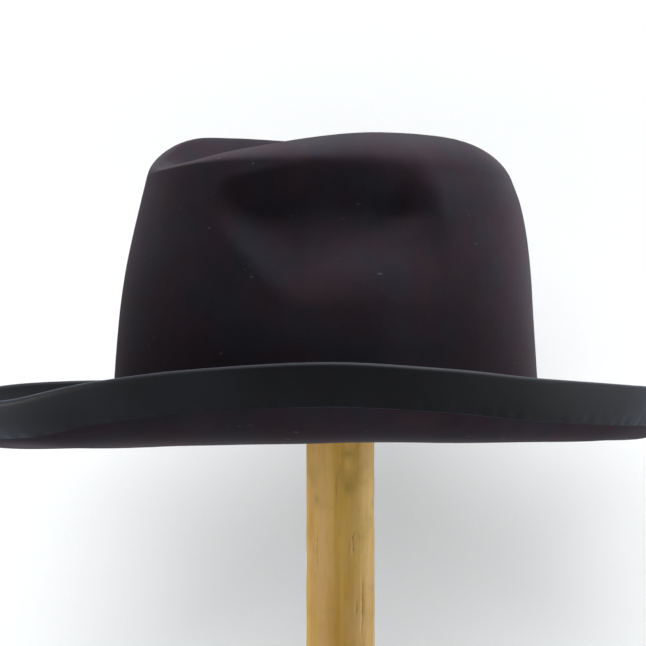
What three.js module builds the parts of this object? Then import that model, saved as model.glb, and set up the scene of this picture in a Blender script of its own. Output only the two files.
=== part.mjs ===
// A creased felt fedora with a bound brim, resting on a plain wooden post stand.
// Millimetres, +Z up. The wearer's front faces -Y and the wearer's left is +X. The origin is the
// middle of the underside of the stand's foot.
import * as THREE from 'three';

// Driving dimensions of the hat
const FELT = 2.0;                // thickness of the felt
const GAP = 0.3;                 // clearance between pieces that touch
const TAPE = 1.0;                // thickness of the folded ribbon on the brim's edge
const BOUND = 16.0;              // how far the ribbon reaches from the edge, on each face
const BREAK = 9.0;               // radius where the brim turns up into the crown
const BRIM_LEVEL = 180;          // height of the brim's lowest level over the surface it stands on

// Driving dimensions of the stand
const POST_R = 16.2;             // radius of the round post
const POST_BACK = 7;             // how far the post stands behind the middle of the crown
const FOOT_R = 90;
const FOOT_H = 20;
const FOOT_ROUND = 6;            // rounding of the foot's upper edge
const CAP_R = 38;                // block under the crown
const CAP_H = 22;
const CAP_ROUND = 7;
const SIDES = { foot: 48, cap: 40, post: 32 };

// Colours of the finishes
const PLUM_FELT = 0x2d282d;
const SLATE_RIBBON = 0x2c2f33;
const PINE = 0xa07f42;

// How finely the felt is divided, and how much closer its rows lie where the shape turns
const AROUND = 56;
const ROWS = { bound: 3, flat: 6, break: 3, wall: 10, shoulder: 6, crease: 6 };
const FLAT_CROWDING = 1.5;       // towards the ribbon
const WALL_CROWDING = 1.35;      // towards the top of the wall
const BREAK_MARGIN = 0.6;        // share of a row that the break stops short of the wall's foot
const LANDING = 0.45;            // share of the crease's side that has flattened out at its floor
const SLOPE_STEP = 0.001;        // radians each way, for the direction of an outline
const LEAN_STEP = 1;             // height over which the lean of the wall's top is measured
const EDGE_TURNS = [45, 90, 135];   // points round the folded edge of the ribbon

// Crown outline at each height: reach to the front and the back, half width, fullness of the corners
const CROWN = [
  { z: 12, front: 101.8, back: 103.3, half: 84.6, full: 0.015 },
  { z: 32, front: 101.0, back: 102.5, half: 83.6, full: 0.015 },
  { z: 60, front: 98.7, back: 100.7, half: 81.8, full: 0.020 },
  { z: 80, front: 95.5, back: 99.2, half: 80.4, full: 0.025 },
  { z: 100, front: 91.0, back: 96.8, half: 78.2, full: 0.030 },
  { z: 114, front: 87.6, back: 93.6, half: 75.8, full: 0.035 },
  { z: 124, front: 85.2, back: 89.4, half: 73.0, full: 0.040 },
];

// Ridge round the crease, by the angle from the front towards the wearer's left: its crest, how
// full the shoulder outside it is, and how far the crest stays level before it falls inwards
const RIDGE = [
  { deg: 0, x: 0, y: -78, z: 127.3, shoulder: 0.50, crest: 3 },
  { deg: 20, x: 11, y: -72, z: 127.7, shoulder: 0.50, crest: 3 },
  { deg: 45, x: 20, y: -51, z: 133.5, shoulder: 0.48, crest: 4 },
  { deg: 70, x: 26, y: -24, z: 139.4, shoulder: 0.48, crest: 6 },
  { deg: 95, x: 29, y: 7, z: 143.4, shoulder: 0.50, crest: 8 },
  { deg: 125, x: 26, y: 35, z: 143.8, shoulder: 0.59, crest: 10 },
  { deg: 155, x: 15, y: 50, z: 142.4, shoulder: 0.54, crest: 11 },
  { deg: 180, x: 0, y: 55, z: 142.8, shoulder: 0.54, crest: 11 },
  { deg: 205, x: -16, y: 49, z: 144.2, shoulder: 0.56, crest: 11 },
  { deg: 235, x: -28, y: 28, z: 146.0, shoulder: 0.60, crest: 10 },
  { deg: 265, x: -33, y: -5, z: 147.0, shoulder: 0.62, crest: 8 },
  { deg: 290, x: -33, y: -35, z: 147.0, shoulder: 0.62, crest: 7 },
  { deg: 315, x: -29, y: -58, z: 144.0, shoulder: 0.68, crest: 5 },
  { deg: 340, x: -17, y: -75.5, z: 132.0, shoulder: 0.66, crest: 3 },
];

// Floor of the long crease in the top, from front to back
const CREASE = [
  { y: -58, x: -2, z: 123.5 },
  { y: -38, x: -1, z: 121.0 },
  { y: -10, x: 0, z: 120.0 },
  { y: 10, x: 0, z: 120.5 },
  { y: 30, x: 0, z: 124.0 },
];

// Pinched hollow in each side, one row a side: the angle of its middle, which way is the back,
// how far it reaches to the front and the back in degrees, and the lengths of its two ends
const PINCHES = [
  { deg: 70, back: 1, deep: 12.3, frontReach: 37, frontEnd: 18, backReach: 34, backEnd: 15 },
  { deg: 290, back: -1, deep: 11.0, frontReach: 37, frontEnd: 20, backReach: 38, backEnd: 17 },
];
const PINCH_TOP = 126.5;         // where the hollow runs out, in the roll of the ridge
const PINCH_DEEPEST = 102;
// At the front end the top is this much lower and the deepest level this much higher, and both
// change over so many degrees
const PINCH_TAPER = { top: 8, deepest: 3, degrees: 30 };
const PINCH_FOOT_FRONT = 95;     // where the wall starts to lean in, at the hollow's front end
const PINCH_FOOT_DROP = 36;      // how much lower that is towards the back
const PINCH_SWEEP = 30;          // the degrees over which it drops
// How much longer and softer the back end is, this far under the deepest level
const PINCH_FADE = { drop: 30, reach: 4, end: 34 };

// Brim edge in plan
const BRIM_EDGE = { front: 181.5, back: 175.5, half: 139.2, full: -0.028 };

// Roll of the brim, by the same angle: height of its edge, level of its flat, and its slope where
// the ribbon starts and at the very edge
const BRIM = [
  { deg: 0, edge: 15.8, flat: 0.2, start: 30, end: 62 },
  { deg: 20, edge: 17.4, flat: 0.7, start: 36, end: 66 },
  { deg: 35, edge: 24.0, flat: 1.5, start: 46, end: 70 },
  { deg: 50, edge: 28.8, flat: 2.2, start: 52, end: 74 },
  { deg: 70, edge: 32.0, flat: 2.9, start: 60, end: 80 },
  { deg: 86, edge: 29.8, flat: 3.0, start: 60, end: 80 },
  { deg: 102, edge: 26.2, flat: 3.1, start: 58, end: 78 },
  { deg: 130, edge: 24.2, flat: 3.2, start: 56, end: 76 },
  { deg: 180, edge: 24.7, flat: 3.7, start: 54, end: 74 },
  { deg: 230, edge: 24.7, flat: 3.2, start: 56, end: 76 },
  { deg: 258, edge: 26.4, flat: 3.1, start: 58, end: 78 },
  { deg: 274, edge: 28.8, flat: 3.0, start: 60, end: 80 },
  { deg: 290, edge: 30.0, flat: 2.9, start: 60, end: 80 },
  { deg: 310, edge: 27.8, flat: 2.2, start: 52, end: 74 },
  { deg: 325, edge: 24.0, flat: 1.5, start: 46, end: 70 },
  { deg: 340, edge: 17.4, flat: 0.7, start: 36, end: 66 },
];

const rad = THREE.MathUtils.degToRad;
const clamp = THREE.MathUtils.clamp;
const lerp = THREE.MathUtils.lerp;

// Smooth step from 0 to 1
function ease(t) {
  return THREE.MathUtils.smoothstep(t, 0, 1);
}

// A table read as a smooth curve: the value of one column where the key column has the value at.
// The slope at each row is that of the line between its two neighbours. A period closes the table.
function read(table, key, column, at, period = 0) {
  let rows = table.map((row) => [row[key], row[column]]);
  if (period) {
    const before = rows.slice(-2).map(([k, v]) => [k - period, v]);
    const after = rows.slice(0, 2).map(([k, v]) => [k + period, v]);
    rows = [...before, ...rows, ...after];
  }
  const last = rows.length - 1;
  const where = clamp(at, rows[0][0], rows[last][0]);
  let i = 0;
  while (i < last - 1 && rows[i + 1][0] <= where) i += 1;
  const slope = (k) => {
    const a = rows[Math.max(k - 1, 0)];
    const b = rows[Math.min(k + 1, last)];
    return (b[1] - a[1]) / (b[0] - a[0]);
  };
  const span = rows[i + 1][0] - rows[i][0];
  const t = (where - rows[i][0]) / span;
  const [t2, t3] = [t * t, t * t * t];
  return (2 * t3 - 3 * t2 + 1) * rows[i][1] + (t3 - 2 * t2 + t) * span * slope(i)
    + (3 * t2 - 2 * t3) * rows[i + 1][1] + (t3 - t2) * span * slope(i + 1);
}

// An oval in plan: the angle runs from the front (-Y) to the wearer's left (+X)
function oval(angle, { front, back, half, full }) {
  const corner = 1 + full * Math.sin(2 * angle) ** 2;
  const reach = (front + back) / 2 + (front - back) / 2 * Math.cos(angle);
  return new THREE.Vector2(half * Math.sin(angle) * corner, -reach * Math.cos(angle) * corner);
}

// The crown's outline at a height
function crownOval(angle, z) {
  const row = {};
  for (const column of ['front', 'back', 'half', 'full']) row[column] = read(CROWN, 'z', column, z);
  return oval(angle, row);
}

// How far a side hollow pushes the wall in
function pinch(angle, z) {
  const deg = THREE.MathUtils.euclideanModulo(THREE.MathUtils.radToDeg(angle), 360);
  let depth = 0;
  for (const p of PINCHES) {
    const along = (deg - p.deg) * p.back;
    const low = clamp((PINCH_DEEPEST - z) / PINCH_FADE.drop, 0, 1);
    const backReach = p.backReach + PINCH_FADE.reach * low;
    const backEnd = p.backEnd + PINCH_FADE.end * low;
    const ends = ease((along + p.frontReach) / p.frontEnd) * ease((backReach - along) / backEnd);
    const foot = PINCH_FOOT_FRONT - PINCH_FOOT_DROP * ease((along + p.frontReach) / PINCH_SWEEP);
    const taper = ease(-along / PINCH_TAPER.degrees);
    const top = PINCH_TOP - PINCH_TAPER.top * taper;
    const deepest = PINCH_DEEPEST + PINCH_TAPER.deepest * taper;
    const share = z < deepest ? ease((z - foot) / (deepest - foot)) : ease((top - z) / (top - deepest));
    depth += p.deep * ends * share;
  }
  return depth;
}

// A point of the crown's wall, with the hollow pressed in square to the outline
function wallPoint(angle, z) {
  const at = crownOval(angle, z);
  const along = crownOval(angle + SLOPE_STEP, z).sub(crownOval(angle - SLOPE_STEP, z)).normalize();
  const inward = new THREE.Vector2(-along.y, along.x);
  if (inward.dot(at) > 0) inward.negate();
  at.addScaledVector(inward, pinch(angle, z));
  return new THREE.Vector3(at.x, at.y, z);
}

// Points of a cubic curve after its start
function cubic(a, b, c, d, steps) {
  return new THREE.CubicBezierCurve3(a, b, c, d).getPoints(steps).slice(1);
}

// The brim's upper face at one angle, from its edge in to the foot of the crown
function brimRow(angle) {
  const deg = THREE.MathUtils.radToDeg(angle);
  const [edge, flat] = ['edge', 'flat'].map((c) => read(BRIM, 'deg', c, deg, 360));
  const [start, end] = ['start', 'end'].map((c) => rad(read(BRIM, 'deg', c, deg, 360)));
  const rim = oval(angle, BRIM_EDGE);
  const foot = crownOval(angle, CROWN[0].z);
  const width = rim.distanceTo(foot);
  const at = (inside, z) => {
    const p = rim.clone().lerp(foot, inside / width);
    return new THREE.Vector3(p.x, p.y, z);
  };
  const bend = (end - start) / BOUND;
  const across = (s) => (Math.sin(start + bend * s) - Math.sin(start)) / bend;
  const up = (s) => (Math.cos(start) - Math.cos(start + bend * s)) / bend;
  const points = [];
  for (let i = ROWS.bound; i >= 0; i -= 1) {
    const s = BOUND * i / ROWS.bound;
    points.push(at(across(BOUND) - across(s), edge - up(BOUND) + up(s)));
  }
  const curl = edge - up(BOUND) - flat;
  const span = width - across(BOUND) - BREAK;
  const power = Math.tan(start) * span / curl;
  for (let i = 1; i <= ROWS.flat; i += 1) {
    const t = 1 - (i / ROWS.flat) ** FLAT_CROWDING;
    points.push(at(across(BOUND) + span * (1 - t), flat + curl * t ** power));
  }
  for (let i = 1; i <= ROWS.break; i += 1) {
    const turn = rad(90) * i / (ROWS.break + BREAK_MARGIN);
    const z = lerp(flat, CROWN[0].z, 1 - Math.cos(turn));
    points.push(at(width - BREAK * (1 - Math.sin(turn)), z));
  }
  return points;
}

// The crown's outer face at one angle, from its foot over the ridge to the crease's floor
function crownRow(angle, mirrored) {
  const deg = THREE.MathUtils.radToDeg(angle);
  const [low, high] = [CROWN[0].z, CROWN[CROWN.length - 1].z];
  const points = [];
  for (let i = 0; i <= ROWS.wall; i += 1) {
    const share = 1 - (1 - i / ROWS.wall) ** WALL_CROWDING;
    points.push(wallPoint(angle, lerp(low, high, share)));
  }
  const wallTop = points[points.length - 1];
  const lean = wallTop.clone().sub(wallPoint(angle, high - LEAN_STEP)).divideScalar(LEAN_STEP);
  const [x, y, z, shoulder, crest] = ['x', 'y', 'z', 'shoulder', 'crest']
    .map((c) => read(RIDGE, 'deg', c, deg, 360));
  const ridge = new THREE.Vector3(x, y, z);
  const outward = new THREE.Vector3(wallTop.x - x, wallTop.y - y, 0);
  const rise = wallTop.clone().addScaledVector(lean, (z - high) * shoulder);
  const level = ridge.clone().addScaledVector(outward, shoulder);
  points.push(...cubic(wallTop, rise, level, ridge, ROWS.shoulder));
  const [front, back] = [CREASE[0].y, CREASE[CREASE.length - 1].y];
  const floorY = lerp(front, back, (1 - Math.cos(mirrored)) / 2);
  const floor = new THREE.Vector3(
    read(CREASE, 'y', 'x', floorY), floorY, read(CREASE, 'y', 'z', floorY));
  const inward = new THREE.Vector3(floor.x - x, floor.y - y, 0);
  const leave = ridge.clone().addScaledVector(inward, crest / inward.length());
  const land = floor.clone().addScaledVector(inward, -LANDING);
  points.push(...cubic(ridge, leave, land, floor, ROWS.crease));
  return points;
}

// The felt's upper face: a grid whose last row lies on the crease's floor, where the left and the
// right half share their points
function upperFace() {
  const columns = [];
  for (let k = 0; k < AROUND; k += 1) {
    const angle = 2 * Math.PI * k / AROUND;
    const mirrored = 2 * Math.PI * Math.min(k, AROUND - k) / AROUND;
    columns.push([...brimRow(angle), ...crownRow(angle, mirrored)]);
  }
  const rows = columns[0].length;
  const points = [];
  for (let r = 0; r < rows - 1; r += 1) columns.forEach((column) => points.push(column[r]));
  for (let k = 0; k <= AROUND / 2; k += 1) points.push(columns[k][rows - 1]);
  const index = (r, k) => {
    const turn = k % AROUND;
    return r * AROUND + (r < rows - 1 ? turn : Math.min(turn, AROUND - turn));
  };
  const faces = [];
  for (let r = 0; r < rows - 1; r += 1) {
    for (let k = 0; k < AROUND; k += 1) {
      const [a, b, c, d] = [index(r, k), index(r, k + 1), index(r + 1, k + 1), index(r + 1, k)];
      faces.push([a, b, c]);
      if (c !== d) faces.push([a, c, d]);
    }
  }
  return { points, faces, rows };
}

// A geometry from points and triangles
function solid(points, faces) {
  const geometry = new THREE.BufferGeometry();
  const positions = points.flatMap((p) => p.toArray());
  geometry.setAttribute('position', new THREE.Float32BufferAttribute(positions, 3));
  geometry.setIndex(faces.flat());
  geometry.computeVertexNormals();
  return geometry;
}

// The normals of a face at its points
function normalsOf(points, faces) {
  const normal = solid(points, faces).getAttribute('normal');
  return points.map((_, i) => new THREE.Vector3().fromBufferAttribute(normal, i));
}

const upper = upperFace();
const normals = normalsOf(upper.points, upper.faces);
const under = upper.points.map((p, i) => p.clone().addScaledVector(normals[i], -FELT));

// The section through the brim's edge: a point on a rounded end, at a reach from the felt's middle
function edgePoint(k, reach, turn) {
  const middle = upper.points[k].clone().lerp(under[k], 0.5);
  const outward = upper.points[k].clone().sub(upper.points[AROUND + k]);
  outward.addScaledVector(normals[k], -outward.dot(normals[k])).normalize();
  middle.addScaledVector(normals[k], reach * Math.cos(turn));
  return middle.addScaledVector(outward, reach * Math.sin(turn));
}

// Felt body: the upper face, the same face set back by the thickness, and the edge between them
function feltBody() {
  const count = upper.points.length;
  const points = [...upper.points, ...under];
  for (let k = 0; k < AROUND; k += 1) points.push(edgePoint(k, FELT / 2, rad(90)));
  const faces = [...upper.faces];
  upper.faces.forEach(([a, b, c]) => faces.push([a + count, c + count, b + count]));
  for (let k = 0; k < AROUND; k += 1) {
    const next = (k + 1) % AROUND;
    const [top, topNext] = [k, next];
    const [mid, midNext] = [2 * count + k, 2 * count + next];
    const [low, lowNext] = [count + k, count + next];
    faces.push([top, mid, midNext], [top, midNext, topNext]);
    faces.push([mid, low, lowNext], [mid, lowNext, midNext]);
  }
  return solid(points, faces);
}

// Brim binding: a ribbon folded over the edge, a U-shaped section carried round the brim
function brimBinding() {
  const path = (k, off) => {
    const points = [];
    for (let r = ROWS.bound; r >= 0; r -= 1) {
      const i = r * AROUND + k;
      points.push(upper.points[i].clone().addScaledVector(normals[i], off));
    }
    for (const turn of EDGE_TURNS) points.push(edgePoint(k, FELT / 2 + off, rad(turn)));
    for (let r = 0; r <= ROWS.bound; r += 1) {
      const i = r * AROUND + k;
      points.push(under[i].clone().addScaledVector(normals[i], -off));
    }
    return points;
  };
  const points = [];
  for (let k = 0; k < AROUND; k += 1) points.push(...path(k, GAP + TAPE), ...path(k, GAP).reverse());
  const ring = points.length / AROUND;
  const faces = [];
  for (let k = 0; k < AROUND; k += 1) {
    for (let j = 0; j < ring; j += 1) {
      const [a, b] = [k * ring + j, k * ring + (j + 1) % ring];
      const [c, d] = [(k + 1) % AROUND * ring + (j + 1) % ring, (k + 1) % AROUND * ring + j];
      faces.push([a, b, c], [a, c, d]);
    }
  }
  return solid(points, faces);
}

// A turned piece about the Z axis, from a closed profile of radius and height
function turned(profile, sides) {
  const geometry = new THREE.LatheGeometry(profile.map(([r, z]) => new THREE.Vector2(r, z)), sides);
  return geometry.rotateX(Math.PI / 2);
}

// Points of a quarter round between a side and a top face
function quarterRound(radius, top, round) {
  return [0, 30, 60, 90].map((turn) => [
    radius - round * (1 - Math.cos(rad(turn))), top - round * (1 - Math.sin(rad(turn)))]);
}

// Stand foot: a round disc with a rounded upper edge
function standFoot() {
  return turned([[0, 0], [FOOT_R, 0], ...quarterRound(FOOT_R, FOOT_H, FOOT_ROUND), [0, FOOT_H]], SIDES.foot);
}

// Stand cap: a turned block with a flat top, which carries the crown from inside
function standCap() {
  return turned([[0, 0], [CAP_R, 0], ...quarterRound(CAP_R, CAP_H, CAP_ROUND), [0, CAP_H]], SIDES.cap);
}

// Stand post: a plain round pole between the foot and the cap, screwed to both from their far sides
function standPost(length) {
  const post = new THREE.CylinderGeometry(POST_R, POST_R, length, SIDES.post).rotateX(Math.PI / 2);
  return post.translate(0, 0, length / 2);
}

// A named sub-part with its own finish
function part(name, geometry, color, roughness) {
  const material = new THREE.MeshStandardMaterial({ color, roughness, metalness: 0 });
  const mesh = new THREE.Mesh(geometry, material);
  mesh.name = name;
  return mesh;
}

// The cap's top lies just under the lowest point of the crease, inside the crown
const creaseLow = Math.min(...under.slice(-(AROUND / 2 + 1)).map((p) => p.z));
const capFoot = BRIM_LEVEL + creaseLow - GAP - CAP_H;
const postFoot = FOOT_H + GAP;
const postTop = capFoot - GAP;

const hat = new THREE.Group();
hat.position.set(0, -POST_BACK, BRIM_LEVEL);
hat.add(part('felt_body', feltBody(), PLUM_FELT, 0.95));
hat.add(part('brim_binding', brimBinding(), SLATE_RIBBON, 0.7));

const stand = new THREE.Group();
stand.add(part('stand_foot', standFoot(), PINE, 0.6));
const post = part('stand_post', standPost(postTop - postFoot), PINE, 0.6);
post.position.z = postFoot;
stand.add(post);
const cap = part('stand_cap', standCap(), PINE, 0.6);
cap.position.z = capFoot;
stand.add(cap);

const group = new THREE.Group();
group.add(hat, stand);

export default group;
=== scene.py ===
# %% [markdown]
# A fedora on a post stand, dressed for its portrait.
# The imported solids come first: they are the fixed frame, in metres, and nothing below moves them.
# Every finer piece is built where its solid stands and then takes that solid's place in the picture.

# %% Load the frame
import math

import bmesh
import bpy
import numpy as np
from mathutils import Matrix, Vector


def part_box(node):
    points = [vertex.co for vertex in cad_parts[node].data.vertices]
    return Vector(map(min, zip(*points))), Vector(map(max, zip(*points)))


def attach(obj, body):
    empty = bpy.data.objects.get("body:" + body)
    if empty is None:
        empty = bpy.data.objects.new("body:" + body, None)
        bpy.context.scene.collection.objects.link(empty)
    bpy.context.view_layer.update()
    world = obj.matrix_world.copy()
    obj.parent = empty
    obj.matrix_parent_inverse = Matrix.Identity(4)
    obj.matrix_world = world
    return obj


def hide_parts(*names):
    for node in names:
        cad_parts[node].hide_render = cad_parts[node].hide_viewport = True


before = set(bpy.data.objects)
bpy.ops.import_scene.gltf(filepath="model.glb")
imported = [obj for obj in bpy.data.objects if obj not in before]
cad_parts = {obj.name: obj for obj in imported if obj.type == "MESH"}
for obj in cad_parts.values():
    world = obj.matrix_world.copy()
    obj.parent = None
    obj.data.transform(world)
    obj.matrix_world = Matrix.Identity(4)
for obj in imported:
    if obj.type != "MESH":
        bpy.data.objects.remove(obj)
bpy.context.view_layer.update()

MM = 0.001
print("solids:", sorted(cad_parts))

# %% [markdown]
# Blender keeps colours as linear light, while a paint chart or a photograph gives sRGB hex values.
# One function turns hex to linear, so that each material can name its colours the way a dyer would.
# A second one adds a shader node with its settings and its links in one call. Inputs may be given by
# name, or by number where a node has several sockets of one name.


# %% Helpers for materials
def colour(hex_value):
    channels = [int(hex_value[i:i + 2], 16) / 255 for i in (1, 3, 5)]
    linear = [c / 12.92 if c <= 0.04045 else ((c + 0.055) / 1.055) ** 2.4 for c in channels]
    return (*linear, 1.0)


def fill(tree, node, inputs):
    """Each input gets a link where a socket is given, and else the value itself."""
    for name, value in inputs.items():
        if isinstance(value, bpy.types.NodeSocket):
            tree.links.new(value, node.inputs[name])
        else:
            node.inputs[name].default_value = value


def add(tree, kind, inputs, **settings):
    node = tree.nodes.new("ShaderNode" + kind)
    for name, value in settings.items():
        setattr(node, name, value)
    fill(tree, node, inputs)
    return node


def new_material(name):
    material = bpy.data.materials.new(name)
    material.use_nodes = True
    return material, material.node_tree, material.node_tree.nodes["Principled BSDF"]


print("mid grey as linear light:", [round(c, 3) for c in colour("#808080")])

# %% [markdown]
# A felt hat starts as one cone of fur felt. It is steamed, pulled over a wooden block, and then the
# crease and the two side hollows are pressed in by hand. So the shape is a few outlines stacked up,
# not a pile of parts. It could be sculpted or cut from a subdivision cage, but short tables read as
# smooth curves keep every size known to the millimetre, and they are the same tables as in the solid.
# The measures are the hat's own: x to the wearer's left, y to the back, z up from the brim's lowest
# level. An angle runs from the front towards the wearer's left.


# %% The hat's measures in millimetres
def chart(columns, *rows):
    """A table whose first line names its columns."""
    return [dict(zip(columns.split(), row)) for row in rows]


HAT_AT = np.array([0.0, -7.0, 180.0])   # middle of the crown, at the brim's level, in the frame
FELT = 2.0                              # thickness of the felt
BOUND = 16.0                            # how far the ribbon reaches from the edge, on each face
BREAK = 9.0                             # radius where the brim turns up into the crown

CROWN = chart(
    "z front back half full",
    (12, 101.8, 103.3, 84.6, 0.015),
    (32, 101.0, 102.5, 83.6, 0.015),
    (60, 98.7, 100.7, 81.8, 0.02),
    (80, 95.5, 99.2, 80.4, 0.025),
    (100, 91.0, 96.8, 78.2, 0.03),
    (114, 87.6, 93.6, 75.8, 0.035),
    (124, 85.2, 89.4, 73.0, 0.04),
)
RIDGE = chart(
    "deg x y z shoulder crest",
    (0, 0, -78, 127.3, 0.5, 3),
    (20, 11, -72, 127.7, 0.5, 3),
    (45, 20, -51, 133.5, 0.48, 4),
    (70, 26, -24, 139.4, 0.48, 6),
    (95, 29, 7, 143.4, 0.5, 8),
    (125, 26, 35, 143.8, 0.59, 10),
    (155, 15, 50, 142.4, 0.54, 11),
    (180, 0, 55, 142.8, 0.54, 11),
    (205, -16, 49, 144.2, 0.56, 11),
    (235, -28, 28, 146.0, 0.6, 10),
    (265, -33, -5, 147.0, 0.62, 8),
    (290, -33, -35, 147.0, 0.62, 7),
    (315, -29, -58, 144.0, 0.68, 5),
    (340, -17, -75.5, 132.0, 0.66, 3),
)
CREASE = chart(
    "y x z",
    (-58, -2, 123.5),
    (-38, -1, 121.0),
    (-10, 0, 120.0),
    (10, 0, 120.5),
    (30, 0, 124.0),
)
LANDING = 0.45                          # share of the crease's side that has flattened at its floor

# %% The side hollows and the brim
PINCHES = chart(
    "deg back deep front_reach front_end back_reach back_end",
    (70, 1, 12.3, 37, 18, 34, 15),
    (290, -1, 11.0, 37, 20, 38, 17),
)
PINCH_TOP = 126.5                       # where the hollow runs out, in the roll of the ridge
PINCH_TOP_DROP = 8                      # how much lower that is at the front end
PINCH_DEEPEST = 102
PINCH_DEEPEST_RISE = 3                  # how much higher that is at the front end
PINCH_TAPER = 30                        # the degrees over which the two draw together
PINCH_FOOT_FRONT = 95                   # where the wall starts to lean in, at the front end
PINCH_FOOT_DROP = 36                    # how much lower that is towards the back
PINCH_SWEEP = 30                        # the degrees over which it drops
PINCH_FADE_DROP = 30                    # mm under the deepest level over which the back end fades
PINCH_FADE_REACH = 4                    # how much longer the back end is low down
PINCH_FADE_END = 34                     # and how much softer

BRIM_EDGE = {"front": 181.5, "back": 175.5, "half": 139.2, "full": -0.028}
BRIM = chart(
    "deg edge flat start end",
    (0, 15.8, 0.2, 30, 62),
    (20, 17.4, 0.7, 36, 66),
    (35, 24.0, 1.5, 46, 70),
    (50, 28.8, 2.2, 52, 74),
    (70, 32.0, 2.9, 60, 80),
    (86, 29.8, 3.0, 60, 80),
    (102, 26.2, 3.1, 58, 78),
    (130, 24.2, 3.2, 56, 76),
    (180, 24.7, 3.7, 54, 74),
    (230, 24.7, 3.2, 56, 76),
    (258, 26.4, 3.1, 58, 78),
    (274, 28.8, 3.0, 60, 80),
    (290, 30.0, 2.9, 60, 80),
    (310, 27.8, 2.2, 52, 74),
    (325, 24.0, 1.5, 46, 70),
    (340, 17.4, 0.7, 36, 66),
)
print(len(CROWN), "crown outlines,", len(RIDGE), "points on the ridge,", len(BRIM), "brim sections")


# %% [markdown]
# A table turns into a shape by reading it between its rows. A straight line between two rows would
# leave a corner at each row, so each value is read from a cubic whose slope at a row is that of the
# line between its two neighbours. A table of angles is closed: its last row runs on into its first.


# %% Read a table as a smooth curve
def read(table, key, column, at, period=0):
    keys = np.array([row[key] for row in table], float)
    values = np.array([row[column] for row in table], float)
    if period:
        keys = np.concatenate([keys[-2:] - period, keys, keys[:2] + period])
        values = np.concatenate([values[-2:], values, values[:2]])
        at = np.mod(at, period)
    slopes = np.gradient(values, keys)
    slopes[1:-1] = (values[2:] - values[:-2]) / (keys[2:] - keys[:-2])
    i = np.clip(np.searchsorted(keys, at, side="right") - 1, 0, len(keys) - 2)
    span = keys[i + 1] - keys[i]
    t = np.clip((at - keys[i]) / span, 0, 1)
    return ((2 * t**3 - 3 * t**2 + 1) * values[i] + (t**3 - 2 * t**2 + t) * span * slopes[i]
            + (3 * t**2 - 2 * t**3) * values[i + 1] + (t**3 - t**2) * span * slopes[i + 1])


def ease(t):
    t = np.clip(t, 0, 1)
    return t * t * (3 - 2 * t)


print("crown's half width 70 mm up:", round(float(read(CROWN, "z", "half", 70.0)), 2), "mm")


# %% Outlines seen from above
def oval(angle, front, back, half, full):
    corner = 1 + full * np.sin(2 * angle) ** 2
    reach = (front + back) / 2 + (front - back) / 2 * np.cos(angle)
    return half * np.sin(angle) * corner, -reach * np.cos(angle) * corner


def crown_oval(angle, z):
    return oval(angle, *(read(CROWN, "z", c, z) for c in ("front", "back", "half", "full")))


print("crown's foot reaches", CROWN[0]["front"], "mm to the front and", CROWN[0]["half"], "mm aside")

# %% [markdown]
# The side hollows are pressed in with the fingers, deepest just under the ridge. Each one is a depth
# that depends on the angle and the height, taken off square to the wall. Its lower lip drops towards
# the back, which gives the long sweep of light across the side.


# %% The crown's wall with its side hollows
def pinch_depth(angle, z):
    deg = np.degrees(angle) % 360
    low = np.clip((PINCH_DEEPEST - z) / PINCH_FADE_DROP, 0, 1)
    total = 0
    for p in PINCHES:
        along = (deg - p["deg"]) * p["back"]
        back_reach = p["back_reach"] + PINCH_FADE_REACH * low
        back_end = p["back_end"] + PINCH_FADE_END * low
        ends = ease((along + p["front_reach"]) / p["front_end"]) * ease((back_reach - along) / back_end)
        foot = PINCH_FOOT_FRONT - PINCH_FOOT_DROP * ease((along + p["front_reach"]) / PINCH_SWEEP)
        taper = ease(-along / PINCH_TAPER)
        top = PINCH_TOP - PINCH_TOP_DROP * taper
        deepest = PINCH_DEEPEST + PINCH_DEEPEST_RISE * taper
        below, above = ease((z - foot) / (deepest - foot)), ease((top - z) / (top - deepest))
        total = total + p["deep"] * ends * np.where(z < deepest, below, above)
    return total


def wall(angle, z, step=0.001):
    x, y = crown_oval(angle, z)
    ahead, behind = crown_oval(angle + step, z), crown_oval(angle - step, z)
    across = np.array([ahead[1] - behind[1], behind[0] - ahead[0]])
    across /= np.hypot(*across)
    inward = -across * np.sign(across[0] * x + across[1] * y)
    depth = pinch_depth(angle, z)
    return np.stack([x + inward[0] * depth, y + inward[1] * depth, np.full_like(x, z)], -1)


print("hollow's depth at its middle:", round(float(pinch_depth(math.radians(70), PINCH_DEEPEST)), 2), "mm")

# %% [markdown]
# The brim is flat where it leaves the crown and rolls up to its edge. The last 16 mm, which the
# ribbon covers, are a plain arc whose slope grows to the edge. The flat part meets that arc at the
# same slope, so the roll has no corner.


# %% One section through the brim
def brim_arc(deg):
    start, end = (np.radians(read(BRIM, "deg", c, deg, 360)) for c in ("start", "end"))
    bend = (end - start) / BOUND

    def across(s):
        return (np.sin(start + bend * s) - np.sin(start)) / bend

    def up(s):
        return (np.cos(start) - np.cos(start + bend * s)) / bend

    return start, across, up


def brim_frame(angle):
    rim = np.stack(oval(angle, **BRIM_EDGE), -1)
    foot = np.stack(crown_oval(angle, CROWN[0]["z"]), -1)
    width = np.hypot(*(foot - rim).T)
    return rim, (foot - rim) / width[:, None], width


def ribbon_zone(angle, s):
    """Points of the brim's upper face at distance s from where the ribbon starts, towards the edge."""
    deg = np.degrees(angle)
    _, across, up = brim_arc(deg)
    rim, inward, _ = brim_frame(angle)
    plan = rim + inward * (across(BOUND) - across(s))[:, None]
    return np.column_stack([plan, read(BRIM, "deg", "edge", deg, 360) - up(BOUND) + up(s)])


print("brim's front edge lies", round(float(ribbon_zone(np.zeros(1), BOUND)[0, 2]), 1), "mm up")


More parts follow.
